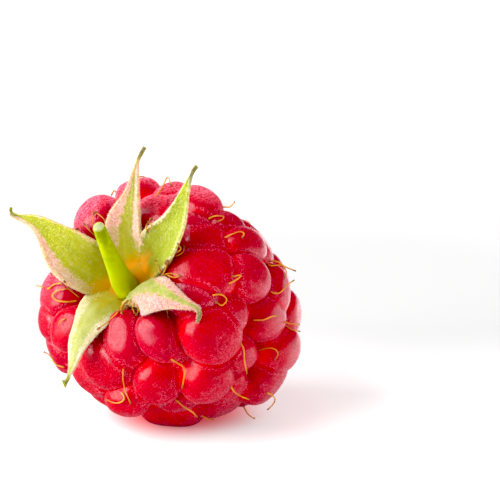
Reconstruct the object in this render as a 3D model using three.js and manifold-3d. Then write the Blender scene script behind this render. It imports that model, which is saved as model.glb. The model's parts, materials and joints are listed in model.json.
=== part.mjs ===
// A ripe raspberry, picked with its calyx and a short stalk, lying on its side.
// Millimetres, +Z up, origin at the middle of the foot of its bounding box.
import * as THREE from 'three'
import { mergeVertices } from 'three/addons/utils/BufferGeometryUtils.js'
import Module from 'manifold-3d'

const wasm = await Module()
wasm.setup()

// ---- Driving dimensions -------------------------------------------------------------

// How the fruit lies: its axis runs from the tip to the calyx
const axisRise = 30.4 // degrees that the axis climbs above the table
const axisHeading = 235.7 // degrees from +X towards +Y that the calyx faces
const centreHeight = 12.0 // middle of the widest ring above the table
const centreX = 0.1 // the same middle, from the origin
const centreY = -1.71

// Body of the fruit: a superellipse turned round its axis
const bodyRadius = 10.8
const shoulderHeight = 6.4 // from the widest ring up to the calyx end
const tipHeight = 15.3 // from the widest ring down to the tip
const fullness = 2.5 // 2 would be an ellipse, more is squarer

// Drupelets: each is an ellipsoid sunk into the body
const drupeletDepth = 2.7 // from its centre out to its skin
const drupeletOverlap = 1.15 // swelling into its neighbours
const fillCount = 92 // drupelets that would cover the whole body
const fillStart = 38 // degrees from the calyx end where the even rows begin
const fillLimit = 40 // degrees that no drupelet of these rows passes
const fillClearance = 3.1 // least distance from a placed drupelet at the start
const fillReach = 5.0 // neighbours nearer than this push each other apart
const fillPush = 0.06
const fillSteps = 60
const fillSink = 0.25 // the even rows sit this much deeper
const coreInset = 2.4 // from the body's surface in to the solid middle

// Seat for the calyx in the top of the fruit
const seatRadius = 4.65
const seatFloor = 3.6 // height above the widest ring

// Calyx, a disc with five sepals
const discRadius = 3.2
const discThickness = 0.85
const seatGap = 0.1
const sepalThickness = 0.7

// Stalk
const stalkFootRadius = 1.0
const stalkRadius = 0.45

// Dried stamens round the disc
const stamenGap = 0.1
const stamenRingWidth = 0.85
const stamenRingHeight = 0.5
const stamenThickness = 0.26
const stamenTufts = [ // degrees round the axis, in the gaps between the sepals
  { around: 27, spread: 18, count: 5 },
  { around: 227, spread: 0, count: 1 },
  { around: 311.8, spread: 0, count: 1 },
]

// Drupelets placed one by one:
// degrees from the calyx end, degrees round the axis from the lowest side,
// width, length along the axis, height above the body
const placedDrupelets = [
  // first row, round the calyx
  [25.2, 17, 4.1, 5.3, 0.15],
  [32.2, 47, 3.5, 4.7, 0.15],
  [37, 90.5, 4.2, 4.9, 0.29],
  [42.2, 107, 4.7, 6.2, 0.33],
  [46.3, 127.7, 4.5, 4.5, -0.04],
  [46.6, 144.9, 4, 3.6, -0.26],
  [41, 164, 4.8, 4.8, 0],
  [35.1, 173.3, 5, 4.4, 0.19],
  [39.8, 225.1, 4.7, 4.9, 1.01],
  [36.9, 288.7, 5.2, 4.9, 0.72],
  [35.1, 319.1, 3.9, 4.6, 0.64],
  [42.1, 357.9, 5.6, 5, -0.11],
  // second row
  [74.4, 27.6, 4.2, 4.6, -0.44],
  [66.7, 73, 5.1, 5.4, 0.24],
  [77, 86.5, 3.9, 3.9, 0.15],
  [62.5, 156.9, 5.1, 4.2, 0.42],
  [57.7, 175.1, 3.6, 4.2, 0.03],
  [72.8, 203.4, 4.4, 4, 0.32],
  [49.7, 302.1, 4.3, 4, 0.53],
  [69.6, 315.7, 5, 4.4, 0.06],
  [65.8, 344.4, 5.2, 4.2, -0.46],
  // widest rows
  [81.8, 7.5, 4.4, 3.5, 0.37],
  [93.1, 30.6, 4.2, 3.4, -0.34],
  [90.8, 50.8, 4.9, 4.8, 0.55],
  [95.1, 71.1, 3.4, 4.2, 0.15],
  [98.4, 95.6, 4.6, 5.4, 0.47],
  [99.4, 109.3, 5.1, 4.3, 0.7],
  [84.8, 108.5, 4.2, 5.3, 0.86],
  [87.3, 126.6, 3.5, 5.2, 0.77],
  [89, 130, 4, 4.4, -0.5],
  [78.5, 139.1, 3.6, 4.4, -0.07],
  [95, 162, 4.4, 4.6, -1.2],
  [112.1, 37.9, 4.9, 5, -0.32],
  [116.7, 65.3, 5.5, 4.6, 0.87],
  [112.7, 84.1, 4.4, 5.2, 1.2],
  [117.7, 105.8, 4.5, 5.1, 0.4],
  // the three that it rests on
  [110, 7.5, 6.4, 5, -0.12],
  [139, 14, 4.4, 4.4, -0.2],
  [121, 336, 4.4, 4.4, 0.15],
]

// Sepals: points of the midrib from the disc outwards, each as
// [distance from the axis, degrees round it, height above the widest ring],
// half the width at the base, and how far the margins curl up
const sepals = [
  { midrib: [[1.6, 272, 4.2], [4.0, 268, 5.8], [7.2, 258, 7.2], [10.0, 253.5, 8.3], [12.3, 252, 8.8]],
    halfWidth: 2.3, curl: 0.25 },
  { midrib: [[1.6, 200, 4.2], [4.4, 192, 5.7], [7.2, 182, 7.4], [9.4, 180, 8.5], [11.6, 177, 9.1]],
    halfWidth: 1.75, curl: 0.3 },
  { midrib: [[1.6, 132, 4.2], [4.4, 132, 6.0], [7.2, 137, 7.4], [9.6, 146, 8.2], [12.0, 151, 8.3]],
    halfWidth: 2.15, curl: 0.3 },
  { midrib: [[1.6, 72, 4.3], [3.6, 80, 6.2], [5.6, 81, 6.9], [7.6, 79, 6.6], [9.0, 78, 5.7]],
    halfWidth: 2.0, curl: -0.2 },
  { midrib: [[1.6, 344, 4.3], [4.0, 342, 6.4], [6.4, 345, 6.8], [8.6, 349, 6.6], [10.5, 345, 5.7]],
    halfWidth: 1.6, curl: -0.2 },
]
const sepalStations = 9
const sepalColumns = 4

// Stalk: points of its centre line, as on the sepals
const stalkLine = [[0.7, 42, 4.75], [0.7, 42, 5.5], [0.6, 120, 7.6], [1.7, 158, 10.0], [2.9, 162, 12.4]]

// ---- The fruit's own frame ----------------------------------------------------------

// Local z runs along the axis to the calyx and local x to the lowest side.
const degrees = THREE.MathUtils.degToRad
const axis = new THREE.Vector3(
  Math.cos(degrees(axisRise)) * Math.cos(degrees(axisHeading)),
  Math.cos(degrees(axisRise)) * Math.sin(degrees(axisHeading)),
  Math.sin(degrees(axisRise)),
)
const lowSide = new THREE.Vector3(0, 0, -1).addScaledVector(axis, axis.z).normalize()
const farSide = new THREE.Vector3().crossVectors(axis, lowSide)
const fruitToTable = new THREE.Matrix4().makeBasis(lowSide, farSide, axis)

const polar = ([distance, around, height]) => new THREE.Vector3(
  distance * Math.cos(degrees(around)),
  distance * Math.sin(degrees(around)),
  height,
)

// ---- Solids -------------------------------------------------------------------------

function toSolid(geometry) {
  const bare = geometry.clone()
  bare.deleteAttribute('normal')
  bare.deleteAttribute('uv')
  const merged = mergeVertices(bare, 1e-4)
  return new wasm.Manifold(new wasm.Mesh({
    numProp: 3,
    vertProperties: new Float32Array(merged.attributes.position.array),
    triVerts: new Uint32Array(merged.index.array),
  }))
}

function toGeometry(solid) {
  const mesh = solid.getMesh()
  const geometry = new THREE.BufferGeometry()
  geometry.setAttribute('position', new THREE.BufferAttribute(mesh.vertProperties, 3))
  geometry.setIndex(new THREE.BufferAttribute(mesh.triVerts, 1))
  geometry.computeVertexNormals()
  return geometry
}

const union = solids => solids.reduce((sum, solid) => sum.add(solid))

// ---- Body surface -------------------------------------------------------------------

function bodyPoint(tau, psi) {
  const c = Math.cos(degrees(tau))
  const height = c > 0 ? shoulderHeight : tipHeight
  const radius = bodyRadius * Math.sin(degrees(tau)) ** (2 / fullness)
  return polar([radius, psi, height * Math.sign(c) * Math.abs(c) ** (2 / fullness)])
}

function bodyAngles(point) {
  const height = point.z > 0 ? shoulderHeight : tipHeight
  const s = (Math.hypot(point.x, point.y) / bodyRadius) ** (fullness / 2)
  const c = Math.sign(point.z) * (Math.abs(point.z) / height) ** (fullness / 2)
  return [THREE.MathUtils.radToDeg(Math.atan2(s, c)), THREE.MathUtils.radToDeg(Math.atan2(point.y, point.x))]
}

function bodyNormal(point) {
  const height = point.z > 0 ? shoulderHeight : tipHeight
  const radius = Math.max(Math.hypot(point.x, point.y), 1e-9)
  const outward = (radius / bodyRadius) ** (fullness - 1) / bodyRadius / radius
  const along = Math.sign(point.z) * (Math.abs(point.z) / height) ** (fullness - 1) / height
  return new THREE.Vector3(point.x * outward, point.y * outward, along).normalize()
}

// ---- Drupelets ----------------------------------------------------------------------

// Even rows fill what the placed drupelets leave, starting on a golden-angle spiral
function fillPoints(placed) {
  const goldenAngle = 180 * (3 - Math.sqrt(5))
  let points = []
  for (let i = 0; i < fillCount; i++) {
    const tau = THREE.MathUtils.radToDeg(Math.acos(1 - 2 * (i + 0.5) / fillCount))
    const point = bodyPoint(tau, i * goldenAngle)
    const clear = placed.every(other => other.distanceTo(point) >= fillClearance)
    if (tau >= fillStart && clear) points.push(point)
  }
  for (let step = 0; step < fillSteps; step++) {
    const all = [...placed, ...points]
    points = points.map(point => {
      const moved = point.clone()
      for (const other of all) {
        const away = point.clone().sub(other)
        const distance = away.length()
        if (distance < 1e-6 || distance > fillReach) continue
        moved.addScaledVector(away, (fillReach - distance) * fillPush / distance)
      }
      const [tau, psi] = bodyAngles(moved)
      return bodyPoint(Math.max(tau, fillLimit), psi)
    })
  }
  return points
}

function drupelet(point, width, length, rise) {
  const normal = bodyNormal(point)
  const across = new THREE.Vector3(0, 0, 1).cross(normal).normalize()
  const alongAxis = new THREE.Vector3().crossVectors(normal, across)
  const place = new THREE.Matrix4().makeBasis(across, alongAxis, normal)
  place.setPosition(point.clone().addScaledVector(normal, rise - drupeletDepth))
  const geometry = new THREE.IcosahedronGeometry(1, 2)
  geometry.scale(width / 2 * drupeletOverlap, length / 2 * drupeletOverlap, drupeletDepth)
  return toSolid(geometry.applyMatrix4(place))
}

function fruitBody() {
  const placed = placedDrupelets.map(([tau, psi]) => bodyPoint(tau, psi))
  const filled = fillPoints(placed)
  const all = [...placed, ...filled]
  const solids = placedDrupelets.map(([, , width, length, rise], i) => (
    drupelet(placed[i], width, length, rise)
  ))
  for (const point of filled) {
    const gaps = all.map(other => other.distanceTo(point)).sort((a, b) => a - b)
    const spacing = (gaps[1] + gaps[2] + gaps[3] + gaps[4]) / 4
    solids.push(drupelet(point, spacing * 1.02, spacing * 1.02 * 1.04, -fillSink))
  }

  const profile = [new THREE.Vector2(0, coreInset - tipHeight)]
  for (let tau = 165; tau > 45; tau -= 15) {
    const point = bodyPoint(tau, 0)
    const inset = bodyNormal(point).multiplyScalar(-coreInset)
    profile.push(new THREE.Vector2(point.x + inset.x, point.z + inset.z))
  }
  profile.push(new THREE.Vector2(seatRadius + 0.6, seatFloor), new THREE.Vector2(0, seatFloor))
  solids.push(toSolid(new THREE.LatheGeometry(profile, 20).rotateX(Math.PI / 2)))

  const seat = new THREE.CylinderGeometry(seatRadius, seatRadius, 6, 28)
  seat.rotateX(Math.PI / 2).translate(0, 0, seatFloor + 3)
  const lowered = toGeometry(union(solids).subtract(toSolid(seat))).applyMatrix4(fruitToTable)
  const table = new THREE.BoxGeometry(60, 60, 10).translate(0, 0, -centreHeight - 5)
  return toGeometry(toSolid(lowered).subtract(toSolid(table)))
}

// ---- Calyx --------------------------------------------------------------------------

// Ovate, drawn out to a point
const sepalOutline = s => Math.max((1 - s) ** 1.6 * (0.9 + 3.4 * s), 0.16)

function sepal({ midrib, halfWidth, curl }) {
  const line = new THREE.CatmullRomCurve3(midrib.map(polar), false, 'centripetal')
  const upper = []
  const lower = []
  for (let i = 0; i <= sepalStations; i++) {
    const s = i / sepalStations
    const centre = line.getPointAt(s)
    const along = line.getTangentAt(s)
    const side = new THREE.Vector3().crossVectors(along, new THREE.Vector3(0, 0, 1)).normalize()
    const normal = new THREE.Vector3().crossVectors(side, along)
    for (let j = 0; j <= sepalColumns; j++) {
      const v = 2 * j / sepalColumns - 1
      const reach = halfWidth * sepalOutline(s)
      const point = centre.clone().addScaledVector(side, v * reach)
      point.addScaledVector(normal, curl * reach * v * v * Math.min(1, 3 * s))
      upper.push(point.clone().addScaledVector(normal, sepalThickness / 2))
      lower.push(point.clone().addScaledVector(normal, -sepalThickness / 2))
    }
  }
  const row = sepalColumns + 1
  const half = upper.length
  const index = []
  for (let i = 0; i < sepalStations; i++) {
    for (let j = 0; j < sepalColumns; j++) {
      const a = i * row + j
      index.push(a, a + row + 1, a + row, a, a + 1, a + row + 1)
      index.push(half + a, half + a + row, half + a + row + 1, half + a, half + a + row + 1, half + a + 1)
    }
  }
  const rim = []
  for (let j = 0; j < sepalColumns; j++) rim.push(j)
  for (let i = 0; i < sepalStations; i++) rim.push(i * row + sepalColumns)
  for (let j = sepalColumns; j > 0; j--) rim.push(sepalStations * row + j)
  for (let i = sepalStations; i > 0; i--) rim.push(i * row)
  rim.forEach((a, k) => {
    const b = rim[(k + 1) % rim.length]
    index.push(a, half + b, b, a, half + a, half + b)
  })
  const geometry = new THREE.BufferGeometry().setFromPoints([...upper, ...lower])
  geometry.setIndex(index)
  return toSolid(geometry)
}

function calyx() {
  const foot = seatFloor + seatGap
  const profile = [
    [0, foot], [discRadius - 0.2, foot], [discRadius, foot + 0.2],
    [discRadius, foot + discThickness - 0.2], [discRadius - 0.4, foot + discThickness],
    [stalkFootRadius, foot + discThickness + 0.05], [0, foot + discThickness + 0.05],
  ].map(([x, y]) => new THREE.Vector2(x, y))
  const disc = toSolid(new THREE.LatheGeometry(profile, 24).rotateX(Math.PI / 2))
  return toGeometry(union([disc, ...sepals.map(sepal)])).applyMatrix4(fruitToTable)
}

// ---- Stalk --------------------------------------------------------------------------

// A round shaft along a curve; radiusAt gives its radius from 0 at the foot to 1 at the end
function shaft(line, radiusAt, sides, steps) {
  const frames = line.computeFrenetFrames(steps)
  const geometry = new THREE.CylinderGeometry(1, 1, 1, sides, steps)
  const position = geometry.attributes.position
  for (let i = 0; i < position.count; i++) {
    const s = position.getY(i) + 0.5
    const step = Math.round(s * steps)
    const point = line.getPointAt(s)
    point.addScaledVector(frames.binormals[step], position.getX(i) * radiusAt(s))
    point.addScaledVector(frames.normals[step], position.getZ(i) * radiusAt(s))
    position.setXYZ(i, point.x, point.y, point.z)
  }
  return toSolid(geometry)
}

function stalk() {
  const line = new THREE.CatmullRomCurve3(stalkLine.map(polar), false, 'centripetal')
  const radiusAt = s => stalkRadius + (stalkFootRadius - stalkRadius) * (1 - s) ** 2
  return toGeometry(shaft(line, radiusAt, 14, 12)).applyMatrix4(fruitToTable)
}

// ---- Dried stamens ------------------------------------------------------------------

function stamens() {
  const inner = discRadius + stamenGap
  const outer = inner + stamenRingWidth
  const foot = seatFloor + stamenGap
  const profile = [
    [inner, foot], [outer, foot], [outer, foot + stamenRingHeight], [inner, foot + stamenRingHeight],
    [inner, foot],
  ].map(([x, y]) => new THREE.Vector2(x, y))
  const solids = [toSolid(new THREE.LatheGeometry(profile, 36).rotateX(Math.PI / 2))]
  for (const { around, spread, count } of stamenTufts) {
    for (let i = 0; i < count; i++) {
      const offset = count > 1 ? spread * (i / (count - 1) - 0.5) : 0
      const lean = i % 2 ? 1 : -1
      const length = 1 + 0.25 * ((i * 2) % 3 - 1)
      const line = new THREE.CatmullRomCurve3([
        [outer - 0.2, around + offset, foot + 0.15],
        [outer - 0.2, around + offset, foot + 2.4],
        [outer + 0.5, around + offset + 2 * lean, foot + 2.4 + 0.6 * length],
        [outer + 0.6 + 0.8 * length, around + offset + 6 * lean, foot + 2.4 + 1.2 * length],
      ].map(polar), false, 'centripetal')
      solids.push(shaft(line, () => stamenThickness / 2, 4, 4))
    }
  }
  return toGeometry(union(solids)).applyMatrix4(fruitToTable)
}

// ---- The part -----------------------------------------------------------------------

function piece(name, geometry, color, roughness) {
  const material = new THREE.MeshStandardMaterial({ color, roughness, metalness: 0 })
  const mesh = new THREE.Mesh(geometry, material)
  mesh.name = name
  return mesh
}

const group = new THREE.Group()
group.add(
  piece('drupelets', fruitBody(), 0xc8102e, 0.35),
  piece('calyx', calyx(), 0xa9b84a, 0.8),
  piece('stalk', stalk(), 0x9fb52a, 0.7),
  piece('stamens', stamens(), 0x9a5b22, 0.9),
)
group.position.set(centreX, centreY, centreHeight)
group.updateMatrixWorld(true)

export default group
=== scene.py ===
# A ripe raspberry with its calyx, stalk and dried flower parts, dressed round its solids
import json
import math

import bpy
import numpy as np
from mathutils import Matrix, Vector, noise
from mathutils.bvhtree import BVHTree
from mathutils.kdtree import KDTree

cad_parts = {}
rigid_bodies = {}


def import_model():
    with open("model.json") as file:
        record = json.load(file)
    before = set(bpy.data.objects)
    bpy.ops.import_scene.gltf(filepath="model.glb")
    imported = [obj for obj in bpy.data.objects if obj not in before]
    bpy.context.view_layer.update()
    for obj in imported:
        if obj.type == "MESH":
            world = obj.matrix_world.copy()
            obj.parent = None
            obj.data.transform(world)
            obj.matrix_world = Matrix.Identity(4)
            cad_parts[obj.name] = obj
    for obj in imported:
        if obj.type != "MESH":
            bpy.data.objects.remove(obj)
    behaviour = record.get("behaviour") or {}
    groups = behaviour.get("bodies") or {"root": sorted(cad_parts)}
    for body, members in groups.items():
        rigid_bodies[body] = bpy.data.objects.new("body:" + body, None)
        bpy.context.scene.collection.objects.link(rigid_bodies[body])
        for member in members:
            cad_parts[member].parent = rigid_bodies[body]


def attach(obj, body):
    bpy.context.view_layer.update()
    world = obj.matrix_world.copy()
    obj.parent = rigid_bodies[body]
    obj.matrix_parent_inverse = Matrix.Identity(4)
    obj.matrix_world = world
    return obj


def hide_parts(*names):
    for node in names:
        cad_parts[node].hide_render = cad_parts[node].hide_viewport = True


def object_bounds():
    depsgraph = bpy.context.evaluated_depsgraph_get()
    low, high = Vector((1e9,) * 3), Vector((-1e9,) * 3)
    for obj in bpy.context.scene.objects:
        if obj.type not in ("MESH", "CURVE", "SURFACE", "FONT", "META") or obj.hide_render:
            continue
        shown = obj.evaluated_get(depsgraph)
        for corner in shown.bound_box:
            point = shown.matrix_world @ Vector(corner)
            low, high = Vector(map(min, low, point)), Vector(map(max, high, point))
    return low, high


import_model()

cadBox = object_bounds()
mm = 0.001  # lengths below are in millimetres of the real fruit
scene = bpy.context.scene

# How the fruit lies, as in the solids: z of its own frame runs from tip to calyx
fruit = {
    "centre": (0.1, -1.71, 12.0),  # middle of the widest ring
    "axisRise": 30.4,  # degrees above the table
    "axisHeading": 235.7,  # degrees from +X that the calyx faces
    "radius": 10.8,
    "shoulder": 6.4,  # widest ring up to the calyx end
    "tip": 15.3,  # widest ring down to the tip
    "fullness": 2.5,  # power of the superellipse, 2 for a plain ellipse
    "seatRadius": 2.9,  # the hollow that the calyx sits in
    "seatFloor": 3.6,
}


# Small helpers

def deselectAll():
    if bpy.context.object and bpy.context.object.mode != "OBJECT":
        bpy.ops.object.mode_set(mode="OBJECT")
    bpy.ops.object.select_all(action="DESELECT")


def applyModifier(obj, kind, **settings):
    deselectAll()
    obj.select_set(True)
    bpy.context.view_layer.objects.active = obj
    modifier = obj.modifiers.new(kind.lower(), kind)
    for key, value in settings.items():
        setattr(modifier, key, value)
    bpy.ops.object.modifier_apply(modifier=modifier.name)


def joined(pieces, name):
    deselectAll()
    for piece in pieces:
        piece.select_set(True)
    bpy.context.view_layer.objects.active = pieces[0]
    bpy.ops.object.join()
    whole = bpy.context.object
    whole.name = whole.data.name = name
    return whole


def coords(obj):
    flat = np.empty(len(obj.data.vertices) * 3, np.float32)
    obj.data.vertices.foreach_get("co", flat)
    return flat.reshape(-1, 3).astype(float)


def setCoords(obj, points):
    obj.data.vertices.foreach_set("co", np.asarray(points, np.float32).ravel())
    obj.data.update()


def setAttributes(obj, **layers):  # a number for every point
    for name, values in layers.items():
        layer = obj.data.attributes.new(name, "FLOAT", "POINT")
        layer.data.foreach_set("value", np.asarray(values, np.float32))


def smoothBare(obj):  # shaded smooth, with no material yet
    obj.data.materials.clear()
    obj.data.polygons.foreach_set("use_smooth", np.ones(len(obj.data.polygons), bool))
    obj.data.update()


def triangles(obj):
    return sum(len(face.vertices) - 2 for face in obj.data.polygons)


def smoothStep(x, low, high):
    t = np.clip((x - low) / (high - low), 0, 1)
    return t * t * (3 - 2 * t)


# The fruit's own frame

def unit(v):
    v = np.asarray(v, float)
    return v / np.linalg.norm(v, axis=-1, keepdims=True)


rise, heading = math.radians(fruit["axisRise"]), math.radians(fruit["axisHeading"])
axis = np.array([math.cos(rise) * math.cos(heading), math.cos(rise) * math.sin(heading), math.sin(rise)])
lowSide = unit(np.array([0, 0, -1]) + axis * axis[2])
farSide = np.cross(axis, lowSide)
basis = np.stack([lowSide, farSide, axis])
centre = np.array(fruit["centre"])


def toTable(points):  # fruit's frame in millimetres to the table in metres
    return (np.asarray(points) @ basis + centre) * mm


def toFruit(points):
    return (np.asarray(points) / mm - centre) @ basis.T


def polar(distance, around, height):
    a = np.radians(around)
    return np.stack([distance * np.cos(a), distance * np.sin(a), height + 0 * a], -1)


def bodyPoint(tau, psi):  # on the body, degrees from the calyx end and round the axis
    tau = np.radians(tau)
    c = np.cos(tau)
    height = np.where(c > 0, fruit["shoulder"], fruit["tip"])
    power = 2 / fruit["fullness"]
    return polar(fruit["radius"] * np.sin(tau) ** power, psi, height * np.sign(c) * np.abs(c) ** power)


def bodyAngles(p):
    height = np.where(p[..., 2] > 0, fruit["shoulder"], fruit["tip"])
    power = fruit["fullness"] / 2
    s = (np.hypot(p[..., 0], p[..., 1]) / fruit["radius"]) ** power
    c = np.sign(p[..., 2]) * (np.abs(p[..., 2]) / height) ** power
    return np.degrees(np.arctan2(s, c)), np.degrees(np.arctan2(p[..., 1], p[..., 0]))


def bodyNormal(p):
    height = np.where(p[..., 2] > 0, fruit["shoulder"], fruit["tip"])
    power = fruit["fullness"] - 1
    radius = np.maximum(np.hypot(p[..., 0], p[..., 1]), 1e-9)
    outward = (radius / fruit["radius"]) ** power / fruit["radius"] / radius
    along = np.sign(p[..., 2]) * (np.abs(p[..., 2]) / height) ** power / height
    return unit(np.stack([p[..., 0] * outward, p[..., 1] * outward, along], -1))


# Camera, first because threads are placed by where they are seen

cameraLook = {
    "pixelsPerMm": 11.2,  # at the fruit
    "distance": 240.0,
    "elevation": 15.0,
    "fruitPixel": (155.0, 298.0),  # where the fruit's centre shows
    "frame": 500,
    "sensor": 36.0,
}


def makeCamera(c):
    up = math.radians(c["elevation"])
    right = np.array([1.0, 0, 0])
    upward = np.array([0, math.sin(up), math.cos(up)])
    back = np.array([0, -math.cos(up), math.sin(up)])
    half = c["frame"] / 2
    offset = right * (half - c["fruitPixel"][0]) - upward * (half - c["fruitPixel"][1])
    place = centre + offset / c["pixelsPerMm"] + back * c["distance"]
    deselectAll()
    bpy.ops.object.camera_add(location=place * mm, rotation=(math.pi / 2 - up, 0, 0))
    camera = bpy.context.object
    camera.name = "camera"
    camera.data.sensor_width = c["sensor"]
    camera.data.lens = c["pixelsPerMm"] * c["sensor"] * c["distance"] / c["frame"]
    camera.data.clip_start = 0.01
    scene.camera = camera

    def sight(pixel):  # start and direction of the ray through a pixel, in metres
        x = (pixel[0] - half) / c["pixelsPerMm"]
        y = (half - pixel[1]) / c["pixelsPerMm"]
        return Vector(place * mm), Vector(unit(right * x + upward * y - back * c["distance"]))

    return sight


sight = makeCamera(cameraLook)


# Shader helpers

tree = None  # the node tree that they add to, set where a material or the world begins


def node(kind, **settings):  # settings are properties of the node or names of its sockets
    n = tree.nodes.new("ShaderNode" + kind)
    for key, value in settings.items():
        if hasattr(n, key):
            setattr(n, key, value)
        else:
            n.inputs[key].default_value = value
    return n


def wire(source, target):
    tree.links.new(source, target)


def feed(value, target):  # value is a socket or a constant
    if isinstance(value, bpy.types.NodeSocket):
        wire(value, target)
    else:
        target.default_value = value


def material(name, constants):  # Principled, with the constants on its own sockets
    global tree
    m = bpy.data.materials.new(name)
    m.use_nodes = True
    tree = m.node_tree
    tree.nodes.clear()
    out = node("OutputMaterial")
    shader = node("BsdfPrincipled", **constants)
    wire(shader.outputs["BSDF"], out.inputs["Surface"])
    return m, shader


def rgb(r, g, b):  # display values 0 to 255 to linear
    def linear(x):
        x /= 255
        return x / 12.92 if x <= 0.04045 else ((x + 0.055) / 1.055) ** 2.4
    return linear(r), linear(g), linear(b), 1.0


def grey(value):
    return value, value, value, 1.0


def attribute(name):
    return node("Attribute", attribute_name=name).outputs["Fac"]


def mixed(factor, a, b, blend="MIX"):
    n = node("Mix", data_type="RGBA", blend_type=blend)
    feed(factor, n.inputs[0])
    feed(a, n.inputs[6])
    feed(b, n.inputs[7])
    return n.outputs[2]


def math2(operation, a, b):
    n = node("Math", operation=operation)
    feed(a, n.inputs[0])
    feed(b, n.inputs[1])
    return n.outputs[0]


def times(a, b):
    return math2("MULTIPLY", a, b)


def plus(a, b):
    return math2("ADD", a, b)


def ranged(value, low, high, toLow=0.0, toHigh=1.0):
    n = node("MapRange", interpolation_type="SMOOTHSTEP")
    for target, number in zip(("Value", "From Min", "From Max", "To Min", "To Max"),
                              (value, low, high, toLow, toHigh)):
        feed(number, n.inputs[target])
    return n.outputs["Result"]


def speckleGroup():  # cloudy speckle on Object coordinates, size in metres
    global tree
    tree = bpy.data.node_groups.new("speckle", "ShaderNodeTree")
    for name in ("Size", "Detail", "Low", "High"):
        tree.interface.new_socket(name, in_out="INPUT", socket_type="NodeSocketFloat")
    tree.interface.new_socket("Mask", in_out="OUTPUT", socket_type="NodeSocketFloat")
    given = tree.nodes.new("NodeGroupInput").outputs
    cloud = node("TexNoise")
    wire(node("TexCoord").outputs["Object"], cloud.inputs["Vector"])
    wire(math2("DIVIDE", 1.0, given["Size"]), cloud.inputs["Scale"])
    wire(given["Detail"], cloud.inputs["Detail"])
    spread = ranged(cloud.outputs["Fac"], given["Low"], given["High"])
    wire(spread, tree.nodes.new("NodeGroupOutput").inputs["Mask"])
    return tree


speckleTree = speckleGroup()


def speckle(size, detail, low, high):  # size in millimetres
    n = tree.nodes.new("ShaderNodeGroup")
    n.node_tree = speckleTree
    for key, value in (("Size", size * mm), ("Detail", detail), ("Low", low), ("High", high)):
        n.inputs[key].default_value = value
    return n.outputs["Mask"]


def bump(height, shader, strength, depth):  # depth in millimetres
    n = node("Bump", Strength=strength, Distance=depth * mm)
    wire(height, n.inputs["Height"])
    wire(n.outputs["Normal"], shader.inputs["Normal"])


# Drupelets

drupelets = {
    "depth": 2.9,  # from a drupelet's middle out to its skin
    "overlap": 1.04,  # swelling into its neighbours
    # even rows over what the placed drupelets leave
    "fillCount": 92, "fillStart": 38, "fillLimit": 40, "fillClearance": 3.1,
    "fillReach": 5.0, "fillPush": 0.06, "fillSteps": 60, "fillSink": 0.25,
    "fillNeighbours": 4, "fillWidth": 1.02, "fillStretch": 1.04,
    "coreInset": 2.05,  # from the body's surface in to the solid middle
    "coreRings": (72, 48),
    "seatCut": 9,  # height of the cutter that makes the seat
    "seenCuts": 21,
    "hiddenCuts": 9,
    "squareness": 3.2,  # flatter crowns and steeper flanks than a ball
    "frostAndSheenWay": (0.62, -0.25, -0.74),  # the side of each drupelet that is frosted, where the floor lights it, so it also gets a painted sheen
    "hazeWay": (-0.45, 0.2, 0.87),  # towards the side where light comes from behind, which gets a painted pale veil
    "hazeReach": (3.2, 6.8),
    "ripple": 0.045,
    "rippleSize": 1.5,
    "tableGap": 0.02,
    "toneSeed": 7,
    "skin": {
        "IOR": 1.48, "Specular IOR Level": 0.22, "Coat Roughness": 0.16,
        "Subsurface Weight": 0.8, "Subsurface Radius": (1.0, 0.03, 0.03), "Subsurface Scale": 1.3 * mm,
        "Sheen Weight": 0.05, "Sheen Roughness": 0.35, "Sheen Tint": rgb(255, 190, 200),
    },
    # degrees from the calyx end, degrees round the axis from the lowest side,
    # width, length along the axis, height above the body
    "placed": [
        (25.2, 17, 4.1, 5.3, 0.15), (32.2, 47, 3.5, 4.7, 0.15), (37, 90.5, 4.2, 4.9, 0.29),
        (42.2, 107, 4.9, 6.2, 0.55), (46.3, 127.7, 4.5, 4.5, -0.04), (41, 164, 4.8, 4.8, 0),
        (35.1, 173.3, 5, 4.4, 0.19), (39.8, 225.1, 4.7, 4.9, 1.01), (36.9, 288.7, 5.2, 4.9, 0.72),
        (35.1, 319.1, 3.9, 4.6, 0.64), (42.1, 357.9, 5.6, 5, -0.11), (74.4, 27.6, 4.2, 4.6, -0.44),
        (66.7, 73, 5.2, 5.5, 0.4), (77, 86.5, 3.9, 3.9, -0.2), (84.8, 108.5, 4.2, 5.3, 0.7),
        (87.3, 126.6, 3.5, 5.2, 0.6), (46.6, 144.9, 4, 3.6, -0.26), (72.8, 203.4, 4.4, 4, 0.32),
        (49.7, 302.1, 4.3, 4, 0.53), (69.6, 315.7, 5, 4.4, 0.06), (65.8, 344.4, 5.2, 4.2, -0.46),
        (81.8, 7.5, 4.4, 3.5, 0.37), (93.1, 30.6, 4.2, 3.4, -0.34), (90.8, 50.8, 4.9, 4.8, 0.55),
        (95.1, 71.1, 3.4, 4.2, -0.1), (98.4, 95.6, 4.6, 5.4, 0.47), (99.4, 109.3, 5.1, 4.3, 0.7),
        (89, 130, 4, 4.4, -0.5), (78.5, 139.1, 3.6, 4.4, -0.07), (112.1, 37.9, 4.9, 5, -0.32),
        (116.7, 65.3, 5.5, 4.6, 0.87), (112.7, 84.1, 4.4, 5.2, 1.2), (117.7, 105.8, 4.5, 5.1, 0.4),
        (110, 7.5, 6.4, 5, -0.12), (139, 14, 4.4, 4.4, -0.2), (121, 336, 4.4, 4.4, 0.15),
        (62.5, 156.9, 5.1, 4.2, 0.42), (57.7, 175.1, 3.6, 4.2, 0.03), (95, 162, 4.4, 4.6, -1.2),
    ],
}


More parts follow.
